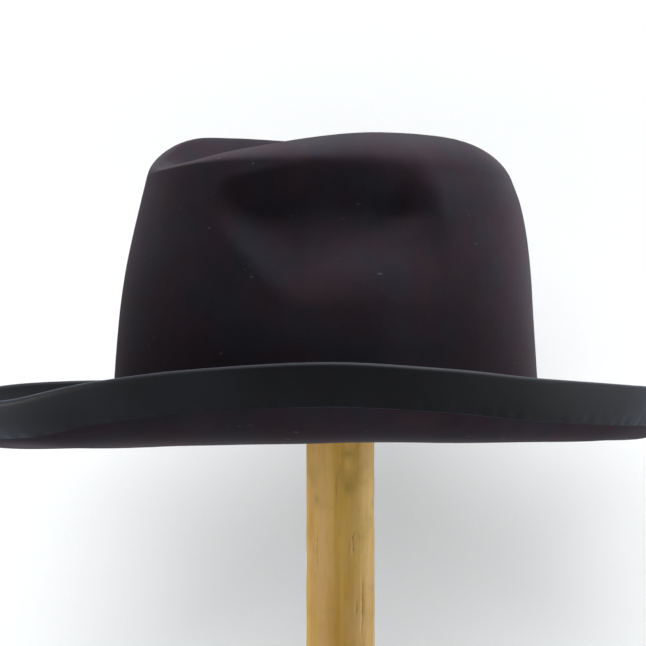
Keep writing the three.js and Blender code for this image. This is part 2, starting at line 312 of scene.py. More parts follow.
# %% From the ribbon in to the crown
def brim_flat(angle, t):
    """Points of the brim from the ribbon, t = 1, to the break at the crown, t = 0."""
    deg = np.degrees(angle)
    start, across, up = brim_arc(deg)
    rim, inward, width = brim_frame(angle)
    level = read(BRIM, "deg", "flat", deg, 360)
    curl = read(BRIM, "deg", "edge", deg, 360) - up(BOUND) - level
    span = width - across(BOUND) - BREAK
    power = np.tan(start) * span / curl
    plan = rim + inward * (across(BOUND) + span * (1 - t))[:, None]
    return np.column_stack([plan, level + curl * np.power(t, power)])


def brim_break(angle, turn):
    rim, inward, width = brim_frame(angle)
    level = read(BRIM, "deg", "flat", np.degrees(angle), 360)
    plan = rim + inward * (width - BREAK * (1 - np.sin(turn)))[:, None]
    return np.column_stack([plan, level + (CROWN[0]["z"] - level) * (1 - np.cos(turn))])


print("brim's width at the front:", round(float(brim_frame(np.zeros(1))[2][0]), 1), "mm")

# %% [markdown]
# Over the top of the wall the felt turns in, over a ridge and down into the long crease. Two cubic
# Bezier curves at each angle do it: one from the wall to the ridge, one from the ridge to the crease's
# floor. The crease's floor is a line, and the left and the right half of the felt share its points.


# %% Shoulder and crease
def bezier(a, b, c, d, t):
    return (1 - t)**3 * a + 3 * (1 - t)**2 * t * b + 3 * (1 - t) * t * t * c + t**3 * d


def crown_top(angle):
    deg = np.degrees(angle)
    high = CROWN[-1]["z"]
    top = wall(angle, float(high))
    lean = top - wall(angle, float(high - 1))
    x, y, z, shoulder, crest = (
        read(RIDGE, "deg", c, deg, 360)[:, None] for c in ("x", "y", "z", "shoulder", "crest"))
    ridge = np.hstack([x, y, z])
    outward = (top - ridge) * [1, 1, 0]
    rise = top + lean * (z - high) * shoulder
    level = ridge + outward * shoulder
    front, back = CREASE[0]["y"], CREASE[-1]["y"]
    floor_y = front + (back - front) * (1 - np.cos(angle)) / 2
    floor = np.column_stack([read(CREASE, "y", "x", floor_y), floor_y, read(CREASE, "y", "z", floor_y)])
    inward = (floor - ridge) * [1, 1, 0]
    leave = ridge + inward * crest / np.linalg.norm(inward, axis=1)[:, None]
    return (top, rise, level, ridge), (ridge, leave, floor - inward * LANDING, floor)


print("ridge over the right side:", round(float(crown_top(np.radians([265.0]))[0][3][0, 2]), 1), "mm up")

# %% [markdown]
# Now the whole upper face is a grid: columns go round the hat, and rows go from the brim's edge up
# to the crease. Rows lie closer together where the felt turns. Hand-blocked felt is never quite true,
# so a few slow waves of a quarter of a millimetre go over it.

# %% Rows and columns of the felt
AROUND = 320
ROWS = {"bound": 8, "flat": 18, "break": 8, "wall": 46, "shoulder": 16, "crease": 16}
FLAT_CROWDING = 1.5                     # how much closer the brim's rows lie towards the ribbon
BREAK_MARGIN = 0.6                      # share of a row that the break stops short of the wall
WALL_CROWDING = 1.35                    # how much closer the wall's rows lie towards its top
WAVE_LENGTH = 46.0
WAVE_HEIGHT = 0.22
WAVE_DRAW = 3                           # the number that fixes which waves are drawn


def hand_waves(points, length, seed, count=7):
    """A smooth uneven value round zero, worked out from a few crossing waves."""
    draw = np.random.default_rng(seed)
    ways = draw.normal(size=(count, 3))
    ways /= np.linalg.norm(ways, axis=1)[:, None]
    pace = 2 * math.pi / (length * draw.uniform(0.7, 1.5, count))
    start = draw.uniform(0, 2 * math.pi, count)
    return np.sin(points @ (ways * pace[:, None]).T + start).sum(-1) / math.sqrt(count)


def felt_rows(angle):
    rows = [ribbon_zone(angle, BOUND * i / ROWS["bound"]) for i in range(ROWS["bound"], -1, -1)]
    rows += [brim_flat(angle, 1 - (i / ROWS["flat"]) ** FLAT_CROWDING) for i in range(1, ROWS["flat"] + 1)]
    turns = [math.pi / 2 * i / (ROWS["break"] + BREAK_MARGIN) for i in range(1, ROWS["break"] + 1)]
    rows += [brim_break(angle, turn) for turn in turns]
    low, high = CROWN[0]["z"], CROWN[-1]["z"]
    shares = [1 - (1 - i / ROWS["wall"]) ** WALL_CROWDING for i in range(ROWS["wall"] + 1)]
    rows += [wall(angle, low + (high - low) * share) for share in shares]
    over, into = crown_top(angle)
    rows += [bezier(*over, i / ROWS["shoulder"]) for i in range(1, ROWS["shoulder"] + 1)]
    rows += [bezier(*into, i / ROWS["crease"]) for i in range(1, ROWS["crease"] + 1)]
    return np.array(rows)


angles = np.arange(AROUND) * 2 * math.pi / AROUND
upper = felt_rows(angles)
print("felt grid:", upper.shape[0], "rows of", AROUND)


# %% [markdown]
# A grid becomes a mesh through its face list. On the last row the right half's points are the left
# half's, so that the felt closes along the crease. The under face is the upper one set back by the
# felt's thickness along its normals, and one strip closes the edge.


# %% Points and faces of the felt
def ring_faces(index):
    """Faces between the rows of a grid of point numbers whose columns close to a ring."""
    beside = np.roll(index, -1, axis=1)
    return np.stack([index[:-1], beside[:-1], beside[1:], index[1:]], -1).reshape(-1, 4)


def grid_index(rows):
    index = np.arange(rows * AROUND).reshape(rows, AROUND)
    mirrored = np.minimum(np.arange(AROUND), AROUND - np.arange(AROUND))
    index[-1] = (rows - 1) * AROUND + mirrored
    return index


def face_normals(points, faces):
    a, b, c, d = (points[faces[:, i]] for i in range(4))
    each = np.cross(c - a, d - b)
    total = np.zeros_like(points)
    for i in range(4):
        np.add.at(total, faces[:, i], each)
    return total / np.maximum(np.linalg.norm(total, axis=1), 1e-12)[:, None]


index = grid_index(len(upper))
quads = ring_faces(index)
flat_points = upper.reshape(-1, 3)
normals = face_normals(flat_points, quads)
waves = WAVE_HEIGHT * hand_waves(flat_points, WAVE_LENGTH, WAVE_DRAW)
flat_points = flat_points + normals * waves[:, None]
under = flat_points - normals * FELT
print("normals point up on the brim:", bool(normals[index[ROWS["bound"] + 4, 0], 2] > 0.9))


# %% [markdown]
# The mesh goes into the scene through one small function, which the other pieces use too. It drops
# points that no face uses, joins doubled corners, turns all faces outward and shades them smooth.


# %% Put a mesh into the scene
def make_piece(name, points, faces, sharp=None):
    mesh = bpy.data.meshes.new(name)
    faces = [list(dict.fromkeys(int(i) for i in face)) for face in faces]
    mesh.from_pydata((np.asarray(points) * MM).tolist(), [], [f for f in faces if len(f) > 2])
    shape = bmesh.new()
    shape.from_mesh(mesh)
    loose = [v for v in shape.verts if not v.link_faces]
    bmesh.ops.delete(shape, geom=loose, context="VERTS")
    bmesh.ops.recalc_face_normals(shape, faces=shape.faces)
    open_edges = sum(1 for e in shape.edges if not e.is_manifold)
    shape.to_mesh(mesh)
    shape.free()
    mesh.shade_smooth()
    if sharp:
        mesh.set_sharp_from_angle(angle=math.radians(sharp))
    piece = bpy.data.objects.new(name, mesh)
    bpy.context.scene.collection.objects.link(piece)
    print(f"{name}: {len(mesh.polygons)} faces, {open_edges} open edges")
    return piece


count = len(flat_points)
rim_row = index[0]
rim_next = np.roll(rim_row, -1)
outward = flat_points[rim_row] - flat_points[index[1]]
outward -= normals[rim_row] * (outward * normals[rim_row]).sum(1)[:, None]
outward /= np.linalg.norm(outward, axis=1)[:, None]
edge_middle = (flat_points[rim_row] + under[rim_row]) / 2 + outward * FELT / 2
middle = 2 * count + np.arange(AROUND)
middle_next = np.roll(middle, -1)
felt_faces = np.vstack([
    quads, quads[:, ::-1] + count,
    np.stack([rim_row, middle, middle_next, rim_next], -1),
    np.stack([middle, rim_row + count, rim_next + count, middle_next], -1)])
felt_points = np.vstack([flat_points, under, edge_middle]) + HAT_AT
felt = make_piece("hat_felt", felt_points, felt_faces)

# %% [markdown]
# The felt is fur felt: rabbit and hare hair matted together, dyed plum brown and then sanded, which
# hatters call pouncing. It has no weave and no gloss, but the ends of the hairs stand up and catch
# light at a glancing angle, so the hat has a pale rim against a bright room. Blender's sheen layer is
# made for such fuzz. The nap is finer than a pixel of the portrait, so its noise is drawn coarser than
# real. The plum has faded to slate in slow patches, a brush has left softer marks over both, and the
# few pale specks are lint.

# %% Pounced fur felt
NAP = 0.7               # mm, clumps of hair; the real ones are near 0.2
PATCH = 38.0            # mm, uneven dye
FADED = 21.0            # mm, places where the plum has faded to slate
BRUSHED = 8.0           # mm, marks of the brush
LINT = 5.5              # mm between the places where a speck may lie


def per_mm(size):
    """The scale of a noise in metres whose clumps are this many millimetres."""
    return 1 / (size * MM)


def pounced_fur_felt():
    material, tree, shader = new_material("pounced_fur_felt")
    place = add(tree, "TexCoord", {}).outputs["Object"]
    patches = add(tree, "TexNoise", {"Vector": place, "Scale": per_mm(PATCH), "Detail": 2.0})
    brush_lay = add(tree, "Mapping", {"Vector": place, "Scale": (1.0, 1.0, 0.6)})
    brush = add(tree, "TexNoise", {
        "Vector": brush_lay.outputs[0], "Scale": per_mm(BRUSHED), "Detail": 4.0, "Roughness": 0.6})
    nap = add(tree, "TexNoise", {"Vector": place, "Scale": per_mm(NAP), "Detail": 3.0, "Roughness": 0.7})
    uneven = add(tree, "Math", {0: brush.outputs[0], 1: 0.4, 2: patches.outputs[0]},
                 operation="MULTIPLY_ADD")
    speckled = add(tree, "Math", {0: uneven.outputs[0], 1: nap.outputs[0]}, operation="ADD")
    spread = add(tree, "MapRange", {"Value": speckled.outputs[0], "From Min": 0.85, "From Max": 1.55})
    plum, slate = (
        add(tree, "Mix", {0: spread.outputs[0], 6: colour(dark), 7: colour(pale)}, data_type="RGBA")
        for dark, pale in (("#19151a", "#271e23"), ("#17171b", "#222026")))
    faded = add(tree, "TexNoise", {"Vector": place, "Scale": per_mm(FADED), "Detail": 3.0})
    fade = add(tree, "MapRange", {"Value": faded.outputs[0], "From Min": 0.42, "From Max": 0.60})
    dye = add(tree, "Mix", {0: fade.outputs[0], 6: plum.outputs[2], 7: slate.outputs[2]}, data_type="RGBA")
    lint_lay = add(tree, "Mapping", {
        "Vector": place, "Rotation": (0.4, 0.9, 0.2), "Scale": (1.0, 0.28, 1.0)})
    lint_cells = add(tree, "TexVoronoi", {"Vector": lint_lay.outputs[0], "Scale": per_mm(LINT)})
    near = add(tree, "MapRange", {
        "Value": lint_cells.outputs["Distance"], "From Min": 0.045, "From Max": 0.100,
        "To Min": 1.0, "To Max": 0.0})
    some = add(tree, "MapRange", {"Value": lint_cells.outputs["Color"], "From Min": 0.4, "From Max": 0.9})
    lint = add(tree, "Math", {0: near.outputs[0], 1: some.outputs[0]}, operation="MULTIPLY")
    base = add(tree, "Mix", {0: lint.outputs[0], 6: dye.outputs[2], 7: colour("#443b42")}, data_type="RGBA")
    bump = add(tree, "Bump", {"Height": nap.outputs[0], "Strength": 0.5, "Distance": 0.12 * MM})
    fill(tree, shader, {
        "Base Color": base.outputs[2], "Normal": bump.outputs[0], "Roughness": 0.95, "IOR": 1.5,
        "Specular IOR Level": 0.05, "Sheen Weight": 0.09, "Sheen Roughness": 0.40,
        "Sheen Tint": colour("#d9cdd8")})
    return material


felt.data.materials.append(pounced_fur_felt())
print("felt nap drawn at", NAP, "mm")

# %% [markdown]
# The brim's edge is bound in wide grosgrain, a ribbon folded lengthwise over the edge. One end laps
# over the other at the back. A plain ring would hide how it is made, so it is built as one long strip
# a little more than a full turn, whose last part rides up over its first. Its section is a flat U
# with soft selvedges, and it is drawn in slightly where the thread pulls it down.

# %% The ribbon's measures
TAPE = 0.55             # mm thick
UNDER_TAPE = 0.08       # clearance over the felt
LAP = 14.0              # mm that the upper end lies over the lower one
LAP_RISE = 9.0          # mm over which it climbs
LAP_AT = 180.0          # degrees: the middle of the back
FOLD = 0.22             # how much fuller the fold is than the felt's edge
PUCKER = 0.16           # mm that the seam's gathers stand up
PUCKER_LENGTH = 7.0     # mm from one gather to the next
PUCKER_FADE = 3.0       # mm in from the selvedge over which they die out
PUCKER_DRAW = 11        # the number that fixes which gathers are drawn
EDGE_LIFT = 0.12        # mm that the selvedge stands off the felt
SELVEDGE_TILT = 0.35    # share of the tape's thickness that its outer face drops at the selvedge
TAPE_STEPS = 900
SELVEDGE = [0.0, 0.12, 0.35, 0.8, 1.6, 2.6, 4.0, 6.0, 8.5, 11.0, 13.5, 15.0, 16.0]

edge_radius = (BRIM_EDGE["half"] + BRIM_EDGE["front"]) / 2
lap_turn = LAP / edge_radius
tape_angles = math.radians(LAP_AT) + np.linspace(-lap_turn / 2, 2 * math.pi + lap_turn / 2, TAPE_STEPS)
print("the ribbon is about", round((2 * math.pi + lap_turn) * edge_radius), "mm long")


# %% Faces of the brim under the ribbon
TURN_STEP = 0.004       # radians each way, for the direction along the ribbon
SLIDE_STEP = 0.05       # mm each way, for the direction across it


def waved(points, along):
    return points + along * (WAVE_HEIGHT * hand_waves(points, WAVE_LENGTH, WAVE_DRAW))[:, None]


def ribbon_faces(angle, distances):
    """Points of the felt's upper face at each distance across, their normals and the way outward."""
    def step(turn, slide):
        return np.array([ribbon_zone(angle + turn, s + slide) - ribbon_zone(angle - turn, s - slide)
                         for s in distances])

    grid = np.array([ribbon_zone(angle, s) for s in distances])
    aside, out = step(TURN_STEP, 0), step(0, SLIDE_STEP)
    normal = np.cross(out, aside)
    normal /= np.linalg.norm(normal, axis=2)[:, :, None]
    normal *= np.sign(normal[0, :, 2])[None, :, None]
    out /= np.linalg.norm(out, axis=2)[:, :, None]
    shape = grid.shape
    grid = waved(grid.reshape(-1, 3), normal.reshape(-1, 3)).reshape(shape)
    return grid, normal, out


def lift(angle):
    """How far the upper end of the ribbon rides over the lower one."""
    from_end = (tape_angles[-1] - angle) * edge_radius
    return (TAPE + UNDER_TAPE) * ease((LAP + LAP_RISE - from_end) / LAP_RISE)


# %% Section of the ribbon
EDGE_TURNS = [20, 45, 70, 90, 110, 135, 160]


def tape_path(angle, off, selvedge_off):
    grid, normal, out = ribbon_faces(angle, SELVEDGE)
    seam = PUCKER * hand_waves(grid.reshape(-1, 3), PUCKER_LENGTH, PUCKER_DRAW).reshape(grid.shape[:2])
    near_seam = np.exp(-np.array(SELVEDGE) / PUCKER_FADE)[:, None]
    full = (np.array(SELVEDGE) / BOUND)[:, None] ** 4 * FOLD
    offsets = np.full(grid.shape[:2], off) + (seam + EDGE_LIFT) * near_seam + full + lift(angle)
    offsets[0] += selvedge_off
    top = grid + normal * offsets[:, :, None]
    below = grid - normal * (offsets + FELT)[:, :, None]
    reach = FELT / 2 + offsets[-1]
    centre = grid[-1] - normal[-1] * FELT / 2
    turns = [math.radians(t) for t in EDGE_TURNS]
    fold = [centre + (normal[-1] * math.cos(t) + out[-1] * math.sin(t)) * reach[:, None] for t in turns]
    return np.concatenate([top, np.array(fold), below[::-1]])


outside = tape_path(tape_angles, UNDER_TAPE + TAPE, -TAPE * SELVEDGE_TILT)
inside = tape_path(tape_angles, UNDER_TAPE, 0.0)
section = np.concatenate([outside, inside[::-1]])
around = len(section)
tape_index = np.arange(around * TAPE_STEPS).reshape(around, TAPE_STEPS)
end_caps = [[tape_index[j, k], tape_index[j + 1, k], tape_index[-2 - j, k], tape_index[-1 - j, k]]
            for k in (0, TAPE_STEPS - 1) for j in range(len(outside) - 1)]
tape_points = section.reshape(-1, 3) + HAT_AT
ribbon = make_piece("brim_ribbon", tape_points, [*ring_faces(tape_index.T), *end_caps], sharp=50)

# %% [markdown]
# Grosgrain has thick weft threads, which make ribs straight across the ribbon. The ribs must follow
# the ribbon and not the room, so each point remembers where it lay on the flat ribbon, in
# millimetres: how far along it and how far across. The shader draws the ribs from that.

# %% Where each point lay on the flat ribbon
mid_line = ribbon_faces(tape_angles, [BOUND])[0][0]
steps_along = np.linalg.norm(np.diff(mid_line, axis=0), axis=1)
along_mm = np.concatenate([[0.0], np.cumsum(steps_along)])
gaps_across = np.linalg.norm(np.diff(outside[:, 0], axis=0), axis=1)
across_mm = np.concatenate([[0.0], np.cumsum(gaps_across)])
laid = np.zeros((around, TAPE_STEPS, 3), np.float32)
laid[:, :, 0] = along_mm
laid[:, :, 1] = np.concatenate([across_mm, across_mm[::-1]])[:, None]
flat = ribbon.data.attributes.new("laid_flat", "FLOAT_VECTOR", "POINT")
flat.data.foreach_set("vector", laid.ravel())
print("ribbon:", round(along_mm[-1]), "mm long,", round(across_mm[-1], 1), "mm wide unfolded")

# %% [markdown]
# The ribbon is rayon grosgrain of a slate so dark that it is nearly black. Rayon threads are smooth
# and lie side by side, so it has a low, soft gloss that felt lacks, and it looks paler where it turns
# away from the eye, which the sheen layer gives. The ribs are about as real. Their valleys are painted
# a little darker than their crests, which is painted shade. They are near the size of one pixel of the
# portrait, where strong ones would make false rings, so they are drawn faintly and show only close up.

# %% Rayon grosgrain
RIB = 0.65              # mm from rib to rib
RIB_WANDER = 0.22       # mm that a rib strays from its straight line
THREADS = (2.4, 9.0, 1.0)   # marks to the millimetre along and across the ribbon
SHADED = 24.0           # mm, uneven dye


def rayon_grosgrain():
    material, tree, shader = new_material("rayon_grosgrain")
    laid = add(tree, "Attribute", {}, attribute_name="laid_flat").outputs["Vector"]
    part = add(tree, "SeparateXYZ", {"Vector": laid})
    place = add(tree, "TexCoord", {}).outputs["Object"]
    wander = add(tree, "TexNoise", {"Vector": laid, "Scale": 0.9, "Detail": 2.0})
    pushed = add(tree, "Math", {0: wander.outputs[0], 1: RIB_WANDER, 2: part.outputs[0]},
                 operation="MULTIPLY_ADD")
    phase = add(tree, "Math", {0: pushed.outputs[0], 1: 2 * math.pi / RIB}, operation="MULTIPLY")
    wave = add(tree, "Math", {0: phase.outputs[0]}, operation="SINE")
    rib = add(tree, "MapRange", {"Value": wave.outputs[0], "From Min": -1.0, "From Max": 1.0})
    threads = add(tree, "Mapping", {"Vector": laid, "Scale": THREADS})
    warp = add(tree, "TexNoise", {"Vector": threads.outputs[0], "Scale": 1.0, "Detail": 1.0})
    patches = add(tree, "TexNoise", {"Vector": place, "Scale": per_mm(SHADED), "Detail": 3.0})
    # painted shade: the ribs' valleys darker than their crests, over the dye's uneven patches
    patches_and_rib_shade = add(tree, "Math", {0: rib.outputs[0], 1: 0.2, 2: patches.outputs[0]}, operation="MULTIPLY_ADD")
    shade = add(tree, "MapRange", {"Value": patches_and_rib_shade.outputs[0], "From Min": 0.25, "From Max": 0.95})
    dye = add(tree, "Mix", {0: shade.outputs[0], 6: colour("#07070a"), 7: colour("#0d0e12")},
              data_type="RGBA")
    height = add(tree, "Math", {0: warp.outputs[0], 1: 0.35, 2: rib.outputs[0]}, operation="MULTIPLY_ADD")
    bump = add(tree, "Bump", {"Height": height.outputs[0], "Strength": 0.22, "Distance": 0.10 * MM})
    fill(tree, shader, {
        "Base Color": dye.outputs[2], "Normal": bump.outputs[0], "Roughness": 0.60, "IOR": 1.47,
        "Specular IOR Level": 0.10, "Sheen Weight": 0.24, "Sheen Roughness": 0.32,
        "Sheen Tint": colour("#a9bbdc")})
    return material


ribbon.data.materials.append(rayon_grosgrain())
print("ribs:", round(along_mm[-1] / RIB))

# %% [markdown]
# A row of machine stitches runs just inside each selvedge and holds the ribbon to the felt. Each
# stitch is a short grain of thread, thickest in its middle, sunk more than half into the ribbon. They
# are made in one array: every stitch has the same few rings, set along the seam at equal steps.

# %% Stitches
STITCH = 2.4            # mm long
STITCH_STEP = 3.1       # mm from one to the next
THREAD = 0.26           # mm thick
SEAM_IN = 1.7           # mm in from the selvedge
SUNK = 0.08             # mm that the middle of a stitch lies under the ribbon's face
RINGS = [(-0.5, 0.25), (-0.38, 0.75), (-0.15, 1.0), (0.15, 1.0), (0.38, 0.75), (0.5, 0.25)]
THREAD_SIDES = 6
SEAM_ENDS = 0.01        # radians that the seam stops short of the ribbon's ends
SEAM_SAMPLES = 4000
THREAD_STEP = 0.002     # radians, for the direction of a stitch


def stitch_row(side):
    """One row of stitches: side 1 on the brim's upper face, -1 on the under face."""
    fine = np.linspace(tape_angles[0] + SEAM_ENDS, tape_angles[-1] - SEAM_ENDS, SEAM_SAMPLES)
    line = ribbon_faces(fine, [SEAM_IN])[0][0]
    length = np.concatenate([[0.0], np.cumsum(np.linalg.norm(np.diff(line, axis=0), axis=1))])
    middles = np.interp(np.arange(STITCH_STEP, length[-1], STITCH_STEP), length, fine)
    line, normal, _ = (part[0] for part in ribbon_faces(middles, [SEAM_IN]))
    ahead = ribbon_faces(middles + THREAD_STEP, [SEAM_IN])[0][0] - line
    ahead /= np.linalg.norm(ahead, axis=1)[:, None]
    aside = np.cross(normal, ahead)
    height = UNDER_TAPE + TAPE + lift(middles) - SUNK
    centre = line + normal * (side * height - (0 if side > 0 else FELT))[:, None]
    points = []
    for along, thick in RINGS:
        for k in range(THREAD_SIDES):
            turn = 2 * math.pi * k / THREAD_SIDES
            reach = thick * THREAD / 2
            points.append(centre + ahead * along * STITCH
                          + aside * math.cos(turn) * reach + normal * math.sin(turn) * reach)
    return np.array(points).transpose(1, 0, 2)


rows_of_stitches = np.concatenate([stitch_row(1), stitch_row(-1)])
per_stitch = len(RINGS) * THREAD_SIDES
one = []
for r in range(len(RINGS) - 1):
    for k in range(THREAD_SIDES):
        a, b = r * THREAD_SIDES + k, r * THREAD_SIDES + (k + 1) % THREAD_SIDES
        one.append([a, b, b + THREAD_SIDES, a + THREAD_SIDES])
caps = [list(range(THREAD_SIDES)), list(range(per_stitch - THREAD_SIDES, per_stitch))]
stitch_faces = [[i + n * per_stitch for i in face]
                for n in range(len(rows_of_stitches)) for face in one + caps]
stitches = make_piece("ribbon_stitches", rows_of_stitches.reshape(-1, 3) + HAT_AT, stitch_faces)
print(len(rows_of_stitches), "stitches")


# %% Sewing thread
TWIST = 0.5             # mm from one light place of the twist to the next


def sewing_thread():
    """Spun polyester, dyed to match. It goes lighter and darker along its twist, which is painted light and
    shade.
    """
    material, tree, shader = new_material("spun_polyester_thread")
    place = add(tree, "TexCoord", {}).outputs["Object"]
    twist = add(tree, "TexNoise", {"Vector": place, "Scale": per_mm(TWIST), "Detail": 1.0})
    # painted light and shade: the thread goes lighter and darker along its twist
    dye = add(tree, "Mix", {0: twist.outputs[0], 6: colour("#050608"), 7: colour("#0a0b0e")},
              data_type="RGBA")
    bump = add(tree, "Bump", {"Height": twist.outputs[0], "Strength": 0.4, "Distance": 0.05 * MM})
    fill(tree, shader, {"Base Color": dye.outputs[2], "Normal": bump.outputs[0], "Roughness": 0.85,
                        "Specular IOR Level": 0.05})
    return material


stitches.data.materials.append(sewing_thread())
print("thread:", THREAD, "mm thick, in stitches", STITCH, "mm long")

# %% [markdown]
# The stand's post is a length of old pine pole with a yellow oil finish. Pine dries with checks,
# which are thin cracks along the grain, and handling leaves small dents and blotches. The solid is a
# plain cylinder, so a finer one takes its place: its points are pushed in along each check. Painting
# the checks alone would leave the edge of the pole too clean. Their dark colour is painted shade, the
# shade that lies inside a crack. The ones that the portrait shows are set down in a table, by their
# turn round the post from the side that faces the camera, and a loop adds more where it doesn't show
# the wood. A check may have a chip, where its edge has broken off.

# %% The post's measures, from the frame
post_low, post_high = (np.array(v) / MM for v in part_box("stand_post"))
post_radius = (post_high[0] - post_low[0]) / 2
CAMERA_SIDE = -25.0     # degrees, counterclockwise from +X: where the camera stands
CHECKS = chart(
    "turn top foot wide deep bend chip",
    (-43, 144, 118, 0.38, 0.3, 1.0, 0.0),
    (-39, 180, 168, 0.3, 0.1, 0.3, 0.0),
    (-8, 167, 152, 0.55, 0.08, 0.5, 0.0),
    (-2, 143, 135, 0.4, 0.08, 0.2, 0.0),
    (21, 140, 127, 0.45, 0.35, 0.4, 0.9),
    (27, 108, 100, 0.45, 0.3, -0.3, 0.5),
    (39, 120, 90, 0.38, 0.35, -0.8, 0.6),
    (31, 152, 145, 0.3, 0.12, 0.2, 0.0),
    (59, 172, 158, 0.28, 0.1, 0.2, 0.0),
)
BLOTCHES = chart(
    "turn z wide high",
    (11, 175, 2.3, 2.0),
    (-44, 154, 1.5, 2.6),
    (12, 159, 2.0, 3.0),
    (68, 152, 1.4, 2.2),
    (150, 130, 2.4, 3.2),
    (215, 84, 2.0, 2.6),
    (265, 160, 1.8, 2.4),
)
MORE_CHECKS = chart(
    "count tops sides longest",
    (26, (50, 270), (75, 290), 40),     # on the sides that the portrait doesn't show
    (8, (45, 82), (-70, 75), 25),       # under the portrait's lower edge
)
CHECKS_DRAW = 21        # the number that fixes which of these are drawn
draw = np.random.default_rng(CHECKS_DRAW)
for more in MORE_CHECKS:
    for _ in range(more["count"]):
        top = draw.uniform(*more["tops"])
        CHECKS.append({
            "turn": draw.uniform(*more["sides"]), "top": top, "foot": top - draw.uniform(9, more["longest"]),
            "wide": draw.uniform(0.28, 0.45), "deep": draw.uniform(0.1, 0.35),
            "bend": draw.uniform(-1, 1), "chip": draw.choice([0.0, 0.0, 0.7])})
print("post:", round(post_radius, 2), "mm in radius,", len(CHECKS), "checks")

# %% Post with its checks
POST_SIDES = 288
POST_ROWS = 250
CHECK_STRAY = 0.18      # mm that a check sways from side to side
WORN = 0.10             # mm, unevenness from the plane and from handling
WORN_DRAW = 5           # the number that fixes its waves
SKIN_INSET = 0.12       # mm that the skin lies inside the solid's face, so that the waves stay in it
turn = np.linspace(0, 2 * math.pi, POST_SIDES, endpoint=False)
height = np.linspace(post_low[2], post_high[2], POST_ROWS)
turns, heights = np.meshgrid(turn, height)
from_camera = (np.degrees(turns) - CAMERA_SIDE + 180) % 360 - 180
check_shade, check_depth, chip_mark, blotch_mark = (np.zeros_like(turns) for _ in range(4))


def round_the_post(row, drift=0.0):
    """How far each point lies from a mark's line, in millimetres round the post."""
    return ((from_camera - row["turn"] + 180) % 360 - 180) * math.pi / 180 * post_radius - drift


for row in CHECKS:
    share = (row["top"] - heights) / (row["top"] - row["foot"])
    open_here = np.clip(4 * share * (1 - share), 0, 1) ** 0.5
    wander = row["bend"] * (share - 0.5) ** 2 * 4 + CHECK_STRAY * np.sin(heights * 0.9 + row["turn"])
    torn = 0.72 + 0.28 * np.sin(heights * 1.7 + row["turn"]) * np.sin(heights * 0.6 + row["top"])
    aside = round_the_post(row, wander)
    gap = np.exp(-(aside / (row["wide"] * (0.35 + 0.65 * open_here))) ** 2) * open_here * torn
    # the dark colour of each check is painted shade, stronger where the check is deeper
    check_shade = np.maximum(check_shade, gap * min(1.0, 0.55 + row["deep"] * 1.5))
    check_depth = np.maximum(check_depth, gap * row["deep"])
    lower = np.clip(4 * (share - 0.35) * (1.05 - share), 0, 1)
    chip_mark = np.maximum(chip_mark, np.exp(-((aside + 0.75) / 0.45) ** 2) * lower * row["chip"])
for row in BLOTCHES:
    across, along = round_the_post(row) / row["wide"], (heights - row["z"]) / row["high"]
    blotch_mark = np.maximum(blotch_mark, np.exp(-across**2 - along**2))
around_post = np.stack([np.cos(turns), np.sin(turns), heights * 0.06], -1)
worn = WORN * hand_waves(around_post.reshape(-1, 3), 0.9, WORN_DRAW).reshape(turns.shape)
radius = post_radius - SKIN_INSET - check_depth + worn
skin = np.stack([np.cos(turns) * radius, np.sin(turns) * radius, heights], -1).reshape(-1, 3)
cell = np.arange(POST_SIDES * POST_ROWS).reshape(POST_ROWS, POST_SIDES)
post = make_piece("post_pole", skin, [*ring_faces(cell), cell[0], cell[-1]], sharp=50)
for name, values in (("check_shade", check_shade), ("chip_mark", chip_mark), ("blotch_mark", blotch_mark)):
    mark = post.data.attributes.new(name, "FLOAT", "POINT")
    mark.data.foreach_set("value", values.ravel().astype(np.float32))

# %% [markdown]
# The foot and the cap are turned on a lathe, so each one is a profile swept round the post's axis.
# The sizes come from their solids. The turner's tool leaves faint rings, and sandpaper leaves the
# upper edge softly round.


# %% Turned pieces
TURNED_SIDES = 160
TOOL_RING = 0.04        # mm, depth of the tool's rings


def turned(name, node, rounding):
    low, high = (np.array(v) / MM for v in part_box(node))
    reach, foot, top = (high[0] - low[0]) / 2, low[2], high[2]
    profile = [(r * reach, foot) for r in (0.0, 0.25, 0.5, 0.75, 0.93)]
    profile += [(reach - 0.6, foot), (reach - 0.15, foot + 0.2), (reach, foot + 0.8)]
    profile += [(reach, foot + (top - rounding - foot) * t) for t in (0.2, 0.4, 0.6, 0.8)]
    arc = np.radians(np.linspace(0, 90, 16))
    profile += [(reach - rounding * (1 - math.cos(a)), top - rounding * (1 - math.sin(a))) for a in arc]
    flat = reach - rounding
    profile += [(flat * (1 - k / 24), top - TOOL_RING * (k % 3 == 1)) for k in range(1, 24)]
    profile += [(0.0, top)]
    angle = np.linspace(0, 2 * math.pi, TURNED_SIDES, endpoint=False)
    circle = np.column_stack([np.cos(angle), np.sin(angle), np.ones(TURNED_SIDES)])
    rings = np.vstack([circle * [r, r, z] for r, z in profile[1:-1]])
    points = np.vstack([[0, 0, foot], rings, [0, 0, top]])
    number = np.arange(1, len(points) - 1).reshape(-1, TURNED_SIDES)
    fans = [[centre, a, b] for centre, ring in ((0, number[0]), (len(points) - 1, number[-1]))
            for a, b in zip(ring, np.roll(ring, -1))]
    return make_piece(name, points, [*ring_faces(number), *fans], sharp=60)


foot = turned("turned_foot", "stand_foot", rounding=6.0)
cap = turned("turned_cap", "stand_cap", rounding=7.0)
